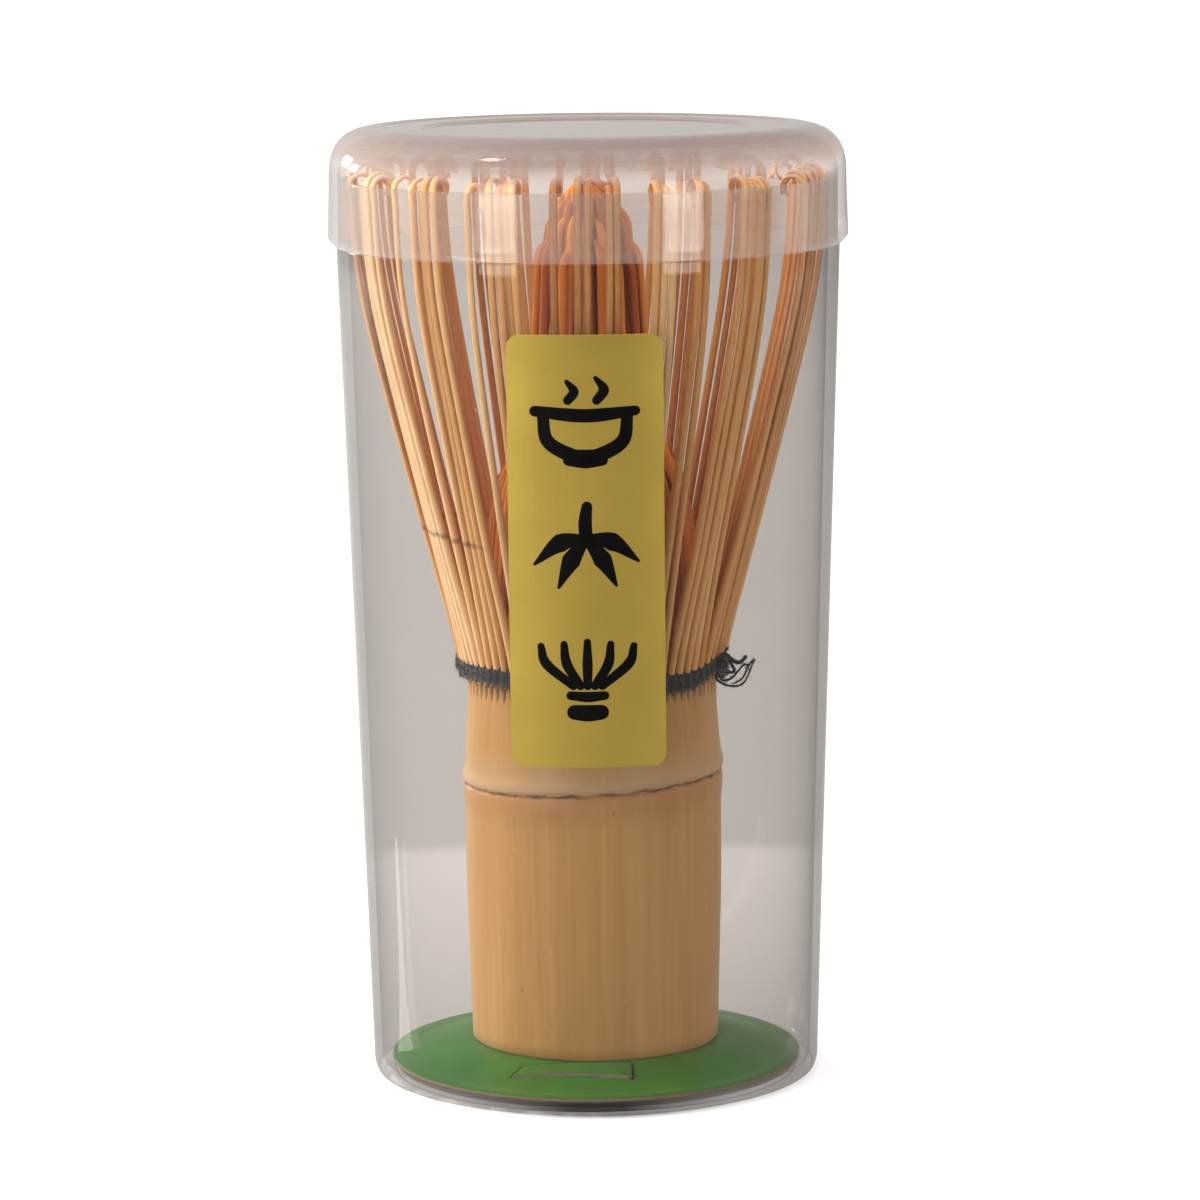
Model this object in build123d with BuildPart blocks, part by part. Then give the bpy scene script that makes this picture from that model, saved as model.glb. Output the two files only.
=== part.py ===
"""Bamboo tea whisk in its clear tapered case, modelled in millimetres.

+Z is up, the origin is at the centre of the case's foot ring, and the label faces -Y.
The whisk is one bamboo culm: a hollow handle below, and above the binding thread the
same culm is split into sixteen staves, each cut into outer tines and inner tines.
"""

from build123d import *
from math import cos, radians, sin
import os

os.makedirs("parts", exist_ok=True)

# ---- driving dimensions -------------------------------------------------------------
CASE_BASE_R = 26.2          # outer radius of the case where its wall meets the foot
CASE_TAPER = 0.030          # growth of the outer radius per millimetre of height
CASE_WALL = 0.9
CASE_RIM_Z = 105.0
FOOT_OUTER_R = 25.85
FOOT_INNER_R = 23.6
FOOT_ROUND = 1.0
FLOOR_UNDER_Z = 0.5
FLOOR_TOP_Z = 1.2
NECK_Z = 97.3               # step that the lid's skirt sits on
NECK_STEP = 0.45

LID_R = 30.1
LID_TOP_R = 29.9
LID_TOP_Z = 111.0
LID_WALL = 1.0
LID_SHOULDER = 3.2
LID_CHAMFER = 0.9
LID_NECK_GAP = 0.25
LID_PANEL_R = 19.2
LID_PANEL_DEPTH = 0.4

LABEL_LOW_Z = 40.7
LABEL_HIGH_Z = 89.5
LABEL_ARC = 35.4            # degrees of the wall that the label covers
LABEL_TURN = -1.0           # degrees that its centre stands left of the front
LABEL_THICK = 0.15
LABEL_CORNER = 1.5

CARD_R = 24.1
CARD_THICK = 0.45
CARD_FLAT_R = 22.6          # the card is flat outside this radius and bowed up inside it
CARD_CROWN_R = 15.2
CARD_CROWN_Z = 3.5
TAB_FRONT_Y = -19.0
TAB_BACK_Y = -15.4
TAB_LEFT_X = -9.4
TAB_RIGHT_X = 4.0
TAB_SLANT = 1.7
TAB_SLIT = 0.35

HANDLE_FOOT_R = 14.5
HANDLE_R = 14.95
HANDLE_TOP_Z = 46.9
HANDLE_BORE_R = 11.2
HANDLE_EDGE = 0.5
NODE_Z = 35.0
NODE_R = 15.3
NODE_LOW_Z = 32.6
NODE_HIGH_Z = 37.4
SEPTUM_LOW_Z = 31.5
SEPTUM_HIGH_Z = 36.0

GROUPS = 16                 # staves that the culm is split into
TINES_PER_GROUP = 5         # outer tines
INNER_PER_GROUP = 4
TINE_PITCH = 4.4            # degrees between the outer tines of one stave
TINE_TILT = 0.85            # degrees that neighbours in a stave lean towards each other
TINE_FOOT_Z = 47.1
OUTER_FOOT_R = 15.45
OUTER_TOP_R = 27.2
OUTER_TOP_Z = 104.5
OUTER_SWING = (             # share of the height, share of the outward swing
    (0.0, 0.0),
    (0.15, 0.16),
    (0.36, 0.425),
    (0.58, 0.695),
    (0.8, 0.925),
    (1.0, 1.0),
)
OUTER_WIDTH = 0.9
OUTER_THICK_LOW = 1.0
OUTER_THICK_HIGH = 0.55
HOOK_R = 2.0
HOOK_TURN = 205.0

INNER_FOOT_R = 12.6
INNER_RING_R = 5.5          # radius of the outermost ring of inner tips
INNER_RING_STEP = 1.15
INNER_TOP_Z = 102.3
INNER_WIDTH = 0.45
INNER_THICK = 0.45

THREAD_R = 0.5
THREAD_LOOP_R = 16.45
THREAD_LOOPS = 2
THREAD_Z = 47.3
KNOT_AZIMUTH = -22.0        # degrees from +X
KNOT_R = 1.1
TAIL_R = 0.4
TAIL_GAP = 0.12              # half the space between the two tails at the knot
THREAD_GAP = 0.02           # between loops of thread that lie on each other

FULL_TURN = 360.0
GROUP_STEP = FULL_TURN / GROUPS


def case_r(z):
    """Outer radius of the case wall at a height."""
    return CASE_BASE_R + CASE_TAPER * z


def export(piece, name):
    """Label a finished piece and write it as its own file."""
    piece.part.label = name
    export_step(piece.part, f"parts/{name}.step")


# ---- clear case ---------------------------------------------------------------------
NECK_R = case_r(NECK_Z) - NECK_STEP

with BuildPart() as case_shell:
    with BuildSketch(Plane.XZ):
        with BuildLine():
            Polyline(
                (0, FLOOR_UNDER_Z),
                (FOOT_INNER_R, FLOOR_UNDER_Z),
                (FOOT_INNER_R, 0),
                (FOOT_OUTER_R, 0),
                (case_r(FOOT_ROUND), FOOT_ROUND),
                (case_r(NECK_Z), NECK_Z),
                (NECK_R, NECK_Z),
                (NECK_R, CASE_RIM_Z),
                (NECK_R - CASE_WALL, CASE_RIM_Z),
                (NECK_R - CASE_WALL, NECK_Z),
                (case_r(FLOOR_TOP_Z) - CASE_WALL, FLOOR_TOP_Z),
                (0, FLOOR_TOP_Z),
                close=True,
            )
        make_face()
    revolve(axis=Axis.Z)
export(case_shell, "case_shell")

# ---- label on the front of the case -------------------------------------------------
with BuildPart() as case_label:
    with BuildSketch(Plane.XZ.rotated((0, 0, -90 + LABEL_TURN - LABEL_ARC / 2))):
        with BuildLine():
            Polyline(
                (case_r(LABEL_LOW_Z), LABEL_LOW_Z),
                (case_r(LABEL_LOW_Z) + LABEL_THICK, LABEL_LOW_Z),
                (case_r(LABEL_HIGH_Z) + LABEL_THICK, LABEL_HIGH_Z),
                (case_r(LABEL_HIGH_Z), LABEL_HIGH_Z),
                close=True,
            )
        make_face()
    revolve(axis=Axis.Z, revolution_arc=LABEL_ARC)
    corners = [edge for edge in case_label.edges() if edge.length < 2 * LABEL_THICK]
    fillet(corners, radius=LABEL_CORNER)
export(case_label, "case_label")

# ---- press-on lid -------------------------------------------------------------------
LID_INNER_R = NECK_R + LID_NECK_GAP
LID_CEILING_Z = LID_TOP_Z - LID_PANEL_DEPTH - LID_WALL

with BuildPart() as case_lid:
    with BuildSketch(Plane.XZ):
        with BuildLine():
            Polyline(
                (LID_INNER_R, NECK_Z),
                (LID_R - LID_CHAMFER, NECK_Z),
                (LID_R, NECK_Z + LID_CHAMFER),
                (LID_TOP_R, LID_TOP_Z - LID_SHOULDER),
            )
            RadiusArc(
                (LID_TOP_R, LID_TOP_Z - LID_SHOULDER),
                (LID_TOP_R - LID_SHOULDER, LID_TOP_Z),
                -LID_SHOULDER,
            )
            Polyline(
                (LID_TOP_R - LID_SHOULDER, LID_TOP_Z),
                (LID_PANEL_R, LID_TOP_Z),
                (LID_PANEL_R - LID_PANEL_DEPTH, LID_TOP_Z - LID_PANEL_DEPTH),
                (0, LID_TOP_Z - LID_PANEL_DEPTH),
                (0, LID_CEILING_Z),
                (LID_INNER_R - LID_SHOULDER / 2, LID_CEILING_Z),
                (LID_INNER_R, LID_CEILING_Z - LID_SHOULDER / 2),
                (LID_INNER_R, NECK_Z),
            )
        make_face()
    revolve(axis=Axis.Z)
export(case_lid, "case_lid")

# ---- card that the whisk stands on --------------------------------------------------
CARD_RIM_TOP_Z = FLOOR_TOP_Z + CARD_THICK

with BuildPart() as base_card:
    with BuildSketch(Plane.XZ):
        with BuildLine():
            Polyline(
                (0, CARD_CROWN_Z),
                (CARD_CROWN_R, CARD_CROWN_Z),
                (CARD_FLAT_R, CARD_RIM_TOP_Z),
                (CARD_R, CARD_RIM_TOP_Z),
                (CARD_R, FLOOR_TOP_Z),
                (CARD_FLAT_R, FLOOR_TOP_Z),
                (CARD_CROWN_R, CARD_CROWN_Z - CARD_THICK),
                (0, CARD_CROWN_Z - CARD_THICK),
                close=True,
            )
        make_face()
    revolve(axis=Axis.Z)
    with BuildSketch():
        with BuildLine():
            Polyline(
                (TAB_LEFT_X + TAB_SLANT - TAB_SLIT, TAB_BACK_Y),
                (TAB_LEFT_X - TAB_SLIT, TAB_FRONT_Y - TAB_SLIT),
                (TAB_RIGHT_X + TAB_SLIT, TAB_FRONT_Y - TAB_SLIT),
                (TAB_RIGHT_X + TAB_SLIT, TAB_BACK_Y),
                (TAB_RIGHT_X, TAB_BACK_Y),
                (TAB_RIGHT_X, TAB_FRONT_Y),
                (TAB_LEFT_X, TAB_FRONT_Y),
                (TAB_LEFT_X + TAB_SLANT, TAB_BACK_Y),
                close=True,
            )
        make_face()
    extrude(amount=CARD_CROWN_Z, mode=Mode.SUBTRACT)
export(base_card, "base_card")

# ---- handle: the unsplit culm -------------------------------------------------------
with BuildPart() as whisk_handle:
    with BuildSketch(Plane.XZ):
        with BuildLine():
            Polyline(
                (HANDLE_BORE_R, CARD_CROWN_Z),
                (HANDLE_FOOT_R - HANDLE_EDGE, CARD_CROWN_Z),
                (HANDLE_FOOT_R, CARD_CROWN_Z + HANDLE_EDGE),
                (HANDLE_R, NODE_LOW_Z),
            )
            ThreePointArc((HANDLE_R, NODE_LOW_Z), (NODE_R, NODE_Z), (HANDLE_R, NODE_HIGH_Z))
            Polyline(
                (HANDLE_R, NODE_HIGH_Z),
                (HANDLE_R, HANDLE_TOP_Z),
                (HANDLE_BORE_R, HANDLE_TOP_Z),
                (HANDLE_BORE_R, SEPTUM_HIGH_Z),
                (0, SEPTUM_HIGH_Z),
                (0, SEPTUM_LOW_Z),
                (HANDLE_BORE_R, SEPTUM_LOW_Z),
                (HANDLE_BORE_R, CARD_CROWN_Z),
            )
        make_face()
    revolve(axis=Axis.Z)
export(whisk_handle, "whisk_handle")


# ---- tines --------------------------------------------------------------------------
def radial_plane(azimuth, base_z=0.0, tilt=0.0):
    """Plane through the whisk's axis, its x pointing outward and its y up, tilted sideways."""
    outward = Vector(cos(radians(azimuth)), sin(radians(azimuth)), 0)
    across = Vector(sin(radians(azimuth)), -cos(radians(azimuth)), 0)
    normal = across * cos(radians(tilt)) - Vector(0, 0, 1) * sin(radians(tilt))
    return Plane(origin=(0, 0, base_z), x_dir=outward, z_dir=normal)


def outer_profile(azimuth, tilt, rise, lean):
    """Side view of one outer tine: it swings outward and hooks inward at the tip."""
    hook_z = OUTER_TOP_Z - TINE_FOOT_Z + rise
    hook_out = OUTER_TOP_R + lean
    back = []
    front = []
    for share, swing in OUTER_SWING:
        z = share * hook_z
        r = OUTER_FOOT_R + (hook_out - OUTER_FOOT_R) * swing
        thick = OUTER_THICK_LOW + (OUTER_THICK_HIGH - OUTER_THICK_LOW) * share
        back.append((r, z))
        front.append((r - thick, z))
    centre = (hook_out - HOOK_R, hook_z)
    inner_r = HOOK_R - OUTER_THICK_HIGH
    end = (cos(radians(HOOK_TURN)), sin(radians(HOOK_TURN)))
    with BuildSketch(radial_plane(azimuth, TINE_FOOT_Z, tilt)) as profile:
        with BuildLine():
            Spline(*back, tangents=[(0.12, 1), (0, 1)])
            CenterArc(centre, HOOK_R, 0, HOOK_TURN)
            Line(
                (centre[0] + HOOK_R * end[0], centre[1] + HOOK_R * end[1]),
                (centre[0] + inner_r * end[0], centre[1] + inner_r * end[1]),
            )
            CenterArc(centre, inner_r, 0, HOOK_TURN)
            Spline(*front, tangents=[(0.12, 1), (0, 1)])
            Line(back[0], front[0])
        make_face()
    return profile.sketch


def inner_profile(azimuth, ring_r, rise):
    """Side view of one inner tine: it leans in to the bundle and then stands up."""
    heights = (0.0, 0.22, 0.41, 0.53, 0.74, 1.0)
    leans = (1.0, 0.95, 0.80, 0.45, 0.14, 0.0)
    rises = (0, 0, 0, 0, 0, rise)
    back = []
    front = []
    for height, lean, lift in zip(heights, leans, rises):
        z = TINE_FOOT_Z + height * (INNER_TOP_Z - TINE_FOOT_Z) + lift
        r = ring_r + (INNER_FOOT_R - ring_r) * lean
        back.append((r + INNER_THICK / 2, z))
        front.append((r - INNER_THICK / 2, z))
    with BuildSketch(radial_plane(azimuth)) as profile:
        with BuildLine():
            Spline(*back)
            Line(back[-1], front[-1])
            Spline(*front)
            Line(front[0], back[0])
        make_face()
    return profile.sketch


for group in range(GROUPS):
    middle = GROUP_STEP * group
    with BuildPart() as outer_tines:
        for tine in range(TINES_PER_GROUP):
            count = group * TINES_PER_GROUP + tine
            offset = tine - (TINES_PER_GROUP - 1) / 2
            angle = middle + offset * TINE_PITCH
            rise = 0.6 * sin(2.4 * count)
            lean = 0.3 * sin(1.7 * count + 1)
            blade = outer_profile(angle, offset * TINE_TILT, rise, lean)
            extrude(blade, amount=OUTER_WIDTH / 2, both=True)
    export(outer_tines, f"outer_tines_{group + 1:02d}")

    with BuildPart() as inner_tines:
        for tine in range(INNER_PER_GROUP):
            count = group * INNER_PER_GROUP + tine
            angle = middle + (tine - (INNER_PER_GROUP - 1) / 2) * GROUP_STEP / INNER_PER_GROUP
            ring_r = INNER_RING_R - INNER_RING_STEP * tine
            rise = sin(2.9 * count)
            extrude(inner_profile(angle, ring_r, rise), amount=INNER_WIDTH / 2, both=True)
    export(inner_tines, f"inner_tines_{group + 1:02d}")

# ---- binding thread, its knot and its two tails -------------------------------------
with BuildPart() as binding_thread:
    for loop in range(THREAD_LOOPS):
        with BuildSketch(Plane.XZ):
            with Locations((THREAD_LOOP_R, THREAD_Z + loop * (2 * THREAD_R + THREAD_GAP))):
                Circle(THREAD_R)
        revolve(axis=Axis.Z)
export(binding_thread, "binding_thread")

KNOT_RADIAL = THREAD_LOOP_R + THREAD_R + KNOT_R + THREAD_GAP
KNOT_Z = THREAD_Z + THREAD_R
KNOT_PLANE = radial_plane(KNOT_AZIMUTH)

with BuildPart() as thread_knot:
    with Locations(KNOT_PLANE.from_local_coords((KNOT_RADIAL, KNOT_Z, 0))):
        Sphere(KNOT_R)
export(thread_knot, "thread_knot")

TAIL_START = KNOT_RADIAL + KNOT_R
UPPER_Z = KNOT_Z + TAIL_R + TAIL_GAP
LOWER_Z = KNOT_Z - TAIL_R - TAIL_GAP
TAIL_ROUTES = {
    "thread_tail_upper": (UPPER_Z, (TAIL_START + 2.2, UPPER_Z + 0.4), (TAIL_START + 4.0, UPPER_Z - 0.6)),
    "thread_tail_lower": (LOWER_Z, (TAIL_START + 1.4, LOWER_Z - 0.9), (TAIL_START + 1.3, LOWER_Z - 2.6)),
}
for name, (start_z, bend, tip) in TAIL_ROUTES.items():
    with BuildPart() as thread_tail:
        with BuildLine(KNOT_PLANE) as route:
            ThreePointArc((TAIL_START, start_z), bend, tip)
        with BuildSketch(Plane(route.line @ 0, z_dir=route.line % 0)):
            Circle(TAIL_R)
        sweep(path=route.line)
    export(thread_tail, name)
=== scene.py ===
"""Looks of a bamboo tea whisk in its clear case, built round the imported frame, in metres.

Shapes are worked out in millimetres and written to meshes through MM. The label faces -Y.
"""

import math
import random

import bmesh
import bpy
from mathutils import Matrix, Vector


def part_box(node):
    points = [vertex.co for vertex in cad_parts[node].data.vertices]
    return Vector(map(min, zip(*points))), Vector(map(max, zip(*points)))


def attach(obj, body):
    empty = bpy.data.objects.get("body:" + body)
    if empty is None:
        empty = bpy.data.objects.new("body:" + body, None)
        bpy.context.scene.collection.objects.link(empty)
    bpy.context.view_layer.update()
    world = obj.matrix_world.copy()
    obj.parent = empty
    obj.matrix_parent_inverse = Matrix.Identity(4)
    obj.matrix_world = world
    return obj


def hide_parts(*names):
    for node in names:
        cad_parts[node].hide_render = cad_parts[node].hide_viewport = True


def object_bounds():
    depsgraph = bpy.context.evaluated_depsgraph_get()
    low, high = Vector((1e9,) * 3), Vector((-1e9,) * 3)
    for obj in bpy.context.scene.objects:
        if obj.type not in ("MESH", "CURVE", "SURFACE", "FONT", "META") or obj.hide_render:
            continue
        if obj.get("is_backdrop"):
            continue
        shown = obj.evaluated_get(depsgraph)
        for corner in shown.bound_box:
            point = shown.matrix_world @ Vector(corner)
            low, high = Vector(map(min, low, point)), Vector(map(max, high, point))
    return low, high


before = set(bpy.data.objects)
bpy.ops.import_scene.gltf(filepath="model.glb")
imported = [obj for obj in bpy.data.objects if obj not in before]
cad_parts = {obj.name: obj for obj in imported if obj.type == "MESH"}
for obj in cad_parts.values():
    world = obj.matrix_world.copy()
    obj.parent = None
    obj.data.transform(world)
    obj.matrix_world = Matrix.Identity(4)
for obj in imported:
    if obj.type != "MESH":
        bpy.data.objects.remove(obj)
cad_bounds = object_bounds()

MM = 0.001
FULL_TURN = 2 * math.pi


# ---- places taken from the frame, in millimetres ------------------------------------
def box_mm(node):
    """Lowest and highest corner of a CAD node, in millimetres."""
    low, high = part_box(node)
    return low / MM, high / MM


CASE_HIGH = box_mm("case_shell")[1]
LID_LOW, LID_HIGH = box_mm("case_lid")
LABEL_LOW, LABEL_HIGH = box_mm("case_label")
CARD_LOW, CARD_HIGH = box_mm("base_card")
HANDLE_LOW, HANDLE_HIGH = box_mm("whisk_handle")
THREAD_LOW, THREAD_HIGH = box_mm("binding_thread")
KNOT_LOW, KNOT_HIGH = box_mm("thread_knot")
STAVES = sorted(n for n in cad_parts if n.startswith("outer_tines_"))
INNER_STAVES = sorted(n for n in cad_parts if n.startswith("inner_tines_"))

# ---- sizes of the details, in millimetres -------------------------------------------
RIM_Z = CASE_HIGH.z
NECK_Z = LID_LOW.z                  # the lid's skirt ends on the case's step
CASE_TOP_R = CASE_HIGH.x
CASE_TAPER = 0.030
CASE_WALL = 0.9
ROUND_STEPS = 192                   # steps round the case and the lid
NECK_STEP = 0.45
FOOT_R = 25.85
FOOT_INNER_R = 23.6
FLOOR_UNDER_Z = 0.5
FLOOR_TOP_Z = CARD_LOW.z

LID_R = LID_HIGH.x
LID_TOP_Z = LID_HIGH.z
LID_WALL = 1.0
LID_SHOULDER = 5.4
LID_PANEL_R = 19.2
LID_PANEL_DEPTH = 0.4

HANDLE_FOOT_Z = HANDLE_LOW.z
HANDLE_TOP_Z = HANDLE_HIGH.z
HANDLE_FOOT_R = 14.5
HANDLE_R = 14.95
HANDLE_BORE_R = 11.2
SKIN_FROM_R = HANDLE_BORE_R + 1.2   # beyond this radius a point is on the skin
SEPTUM_TOP_Z = 36.0                 # the wall that closes the culm at its node
SEPTUM_UNDER_Z = 31.5
NODE_Z = 34.9
NODE_TILT = 0.75                    # how far the node rises to the right of the axis
TINES = 80
TINES_PER_STAVE = TINES // len(STAVES)
INNER_PER_STAVE = 4
STAVE_STEP = FULL_TURN / len(STAVES)
THREAD_Z = (THREAD_LOW.z + THREAD_HIGH.z) / 2
SCAR_Z = 62.3                       # a faint growth scar across the tines on the left
FLOOR_BRIGHT_R = 0.128              # metres
CROWN_Z = (0.1058, 0.1082)          # metres; the lid turns hazy between these


def case_r(z):
    """Outer radius of the case's tapered wall at a height."""
    return CASE_TOP_R - CASE_TAPER * (NECK_Z - z)


def srgb(red, green, blue):
    """Linear colour of a display colour given as 0 to 255."""
    channels = []
    for value in (red, green, blue):
        share = value / 255
        channels.append(share / 12.92 if share < 0.04045 else ((share + 0.055) / 1.055) ** 2.4)
    return (*channels, 1.0)


def grey(level):
    return (level, level, level, 1)


def lerp(a, b, t):
    return a + (b - a) * t


def smooth(t):
    t = min(max(t, 0.0), 1.0)
    return t * t * (3 - 2 * t)


# ---- mesh helpers -------------------------------------------------------------------
def add_object(name, data):
    """A new object in the scene, from a mesh, a lamp or a camera."""
    made = bpy.data.objects.new(name, data)
    bpy.context.scene.collection.objects.link(made)
    return made


def mesh_piece(name, points, faces, material, shade=True):
    """A mesh object from points in millimetres."""
    data = bpy.data.meshes.new(name)
    data.from_pydata([Vector(p) * MM for p in points], [], faces)
    data.validate()
    piece = add_object(name, data)
    data.materials.append(material)
    for face in data.polygons:
        face.use_smooth = shade
    return piece


def face_outward(piece):
    """Turn every face of a closed mesh outward."""
    mesh = bmesh.new()
    mesh.from_mesh(piece.data)
    bmesh.ops.recalc_face_normals(mesh, faces=mesh.faces)
    mesh.to_mesh(piece.data)
    mesh.free()


def round_corners(corners, steps):
    """A closed (r, z) outline from corners of (r, z, size of the rounding)."""
    result = []
    for index, (r, z, size) in enumerate(corners):
        if size == 0:
            result.append((r, z))
            continue
        here = Vector((r, z))
        before = Vector(corners[index - 1][:2]) - here
        after = Vector(corners[(index + 1) % len(corners)][:2]) - here
        start = here + before.normalized() * size
        end = here + after.normalized() * size
        for step in range(steps + 1):
            t = step / steps
            point = start * (1 - t) ** 2 + here * 2 * t * (1 - t) + end * t ** 2
            result.append((point.x, point.y))
    return result


def subdivide_outline(outline, longest):
    """Split long runs of a closed outline so that its mesh has even rows."""
    result = []
    for index, here in enumerate(outline):
        there = outline[(index + 1) % len(outline)]
        length = math.dist(here, there)
        on_axis = here[0] < 1e-6 and there[0] < 1e-6
        pieces = 1 if on_axis else max(1, math.ceil(length / longest))
        for piece in range(pieces):
            t = piece / pieces
            result.append((lerp(here[0], there[0], t), lerp(here[1], there[1], t)))
    return result


def lathe(name, outline, segments, material, wobble=None):
    """Turn a closed (r, z) outline, which may start and end on the axis, about Z."""
    points = []
    faces = []
    rows = []
    for r, z in outline:
        if r < 1e-6:
            rows.append([len(points)] * segments)
            points.append((0, 0, z))
            continue
        row = []
        for step in range(segments):
            angle = FULL_TURN * step / segments
            local_r, local_z = wobble(angle, r, z) if wobble else (r, z)
            row.append(len(points))
            points.append((local_r * math.cos(angle), local_r * math.sin(angle), local_z))
        rows.append(row)
    for index, row in enumerate(rows):
        above = rows[(index + 1) % len(rows)]
        if row[0] == row[1] and above[0] == above[1]:
            continue
        for step in range(segments):
            after = (step + 1) % segments
            corners = [row[step], row[after], above[after], above[step]]
            unique = list(dict.fromkeys(corners))
            if len(unique) > 2:
                faces.append(unique)
    piece = mesh_piece(name, points, faces, material)
    face_outward(piece)
    return piece


def strip_faces(rows, sides):
    """Faces of a closed strip made of rings, with a cap at each end."""
    faces = []
    for low in range(0, (rows - 1) * sides, sides):
        for side in range(sides):
            after = (side + 1) % sides
            faces.append([low + side, low + after, low + sides + after, low + sides + side])
    faces.append(list(range(sides))[::-1])
    last = (rows - 1) * sides
    faces.append([last + side for side in range(sides)])
    return faces


def tube_points(path, radii, sides):
    """Rings and faces of a closed tube along a path, both in millimetres."""
    points = []
    normal = None
    for index, centre in enumerate(path):
        centre = Vector(centre)
        ahead = Vector(path[min(index + 1, len(path) - 1)])
        behind = Vector(path[max(index - 1, 0)])
        along = (ahead - behind).normalized()
        if normal is None:
            normal = along.orthogonal().normalized()
        normal = (normal - along * normal.dot(along)).normalized()
        across = along.cross(normal)
        for side in range(sides):
            angle = FULL_TURN * side / sides
            spoke = normal * math.cos(angle) + across * math.sin(angle)
            points.append(centre + spoke * radii[index])
    return points, strip_faces(len(path), sides)


def smooth_path(controls, steps):
    """Catmull-Rom curve through a few control points."""
    controls = [Vector(c) for c in controls]
    controls = [2 * controls[0] - controls[1], *controls, 2 * controls[-1] - controls[-2]]
    path = []
    for index in range(1, len(controls) - 2):
        a, b, c, d = controls[index - 1:index + 3]
        for step in range(steps):
            t = step / steps
            path.append(
                0.5
                * (
                    2 * b
                    + (c - a) * t
                    + (2 * a - 5 * b + 4 * c - d) * t ** 2
                    + (3 * b - a - 3 * c + d) * t ** 3
                )
            )
    path.append(controls[-2])
    return path


class Batch:
    """Collects many closed bits into one mesh, each point with a tone of its own."""

    def __init__(self):
        self.points = []
        self.faces = []
        self.tones = []

    def add(self, points, faces, tone):
        start = len(self.points)
        self.points += points
        self.faces += [[start + corner for corner in face] for face in faces]
        self.tones += tone if isinstance(tone, list) else [tone] * len(points)

    def piece(self, name, material):
        made = mesh_piece(name, self.points, self.faces, material)
        face_outward(made)
        tone = made.data.attributes.new("tone", "FLOAT", "POINT")
        tone.data.foreach_set("value", self.tones)
        return made


# ---- materials ----------------------------------------------------------------------
class Tree:
    """A material's node tree, with short ways to add and join nodes."""

    def __init__(self, name):
        self.material = bpy.data.materials.new(name)
        self.material.use_nodes = True
        self.tree = self.material.node_tree
        self.tree.nodes.clear()
        self.out = self.tree.nodes.new("ShaderNodeOutputMaterial")
        self.place = self.add("TexCoord").outputs["Object"]

    def add(self, kind, inputs=None, **settings):
        node = self.tree.nodes.new("ShaderNode" + kind)
        for key, value in settings.items():
            setattr(node, key, value)
        for key, value in (inputs or {}).items():
            self.feed(node.inputs[key], value)
        return node

    def feed(self, socket, value):
        if isinstance(value, bpy.types.NodeSocket):
            self.tree.links.new(value, socket)
        else:
            socket.default_value = value

    def stretched(self, x, y, z):
        """The object's own coordinates, scaled along each axis."""
        return self.add("Mapping", {"Vector": self.place, "Scale": (x, y, z)}).outputs[0]

    def noise(self, vector, scale, detail=3.0, rough=0.5):
        node = self.add(
            "TexNoise",
            {"Vector": vector, "Scale": scale, "Detail": detail, "Roughness": rough},
        )
        return node.outputs["Fac"]

    def cells(self, vector, scale):
        """Distance to the nearest of many scattered points."""
        return self.add("TexVoronoi", {"Vector": vector, "Scale": scale}).outputs["Distance"]

    def stored(self, name):
        """A value stored on the points of the mesh."""
        return self.add("Attribute", attribute_name=name).outputs["Fac"]

    def ramp(self, factor, *stops):
        """Colour ramp with (position, colour) stops."""
        node = self.add("ValToRGB", {"Fac": factor})
        while len(node.color_ramp.elements) < len(stops):
            node.color_ramp.elements.new(0.5)
        for element, (position, colour) in zip(node.color_ramp.elements, stops):
            element.position = position
            element.color = colour
        return node.outputs["Color"]

    def span(self, value, low, high, to_low=0.0, to_high=1.0):
        """Map a value's range onto another, clamped."""
        node = self.add(
            "MapRange",
            {"Value": value, "From Min": low, "From Max": high, "To Min": to_low, "To Max": to_high},
        )
        return node.outputs["Result"]

    def mix(self, factor, a, b, blend="MIX", kind="RGBA"):
        node = self.add("Mix", data_type=kind, blend_type=blend)
        self.feed(node.inputs["Factor"], factor)
        self.feed(node.inputs["A"], a)
        self.feed(node.inputs["B"], b)
        return node.outputs["Result"]

    def math(self, operation, a, b=0.0):
        node = self.add("Math", operation=operation)
        self.feed(node.inputs[0], a)
        self.feed(node.inputs[1], b)
        return node.outputs[0]

    def bump(self, height, strength, distance):
        node = self.add("Bump", {"Height": height, "Strength": strength, "Distance": distance})
        return node.outputs[0]

    def blend_shaders(self, factor, a, b):
        node = self.add("MixShader", {"Fac": factor})
        self.feed(node.inputs[1], a)
        self.feed(node.inputs[2], b)
        return node.outputs[0]

    def principled(self, inputs):
        """Finish the material with one principled shader."""
        return self.finish(self.add("BsdfPrincipled", inputs).outputs[0])

    def finish(self, shader):
        self.tree.links.new(shader, self.out.inputs["Surface"])
        return self.material


def axis_value(tree, axis):
    """One of the object coordinates, in metres."""
    return tree.add("SeparateXYZ", {"Vector": tree.place}).outputs[axis]


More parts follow.
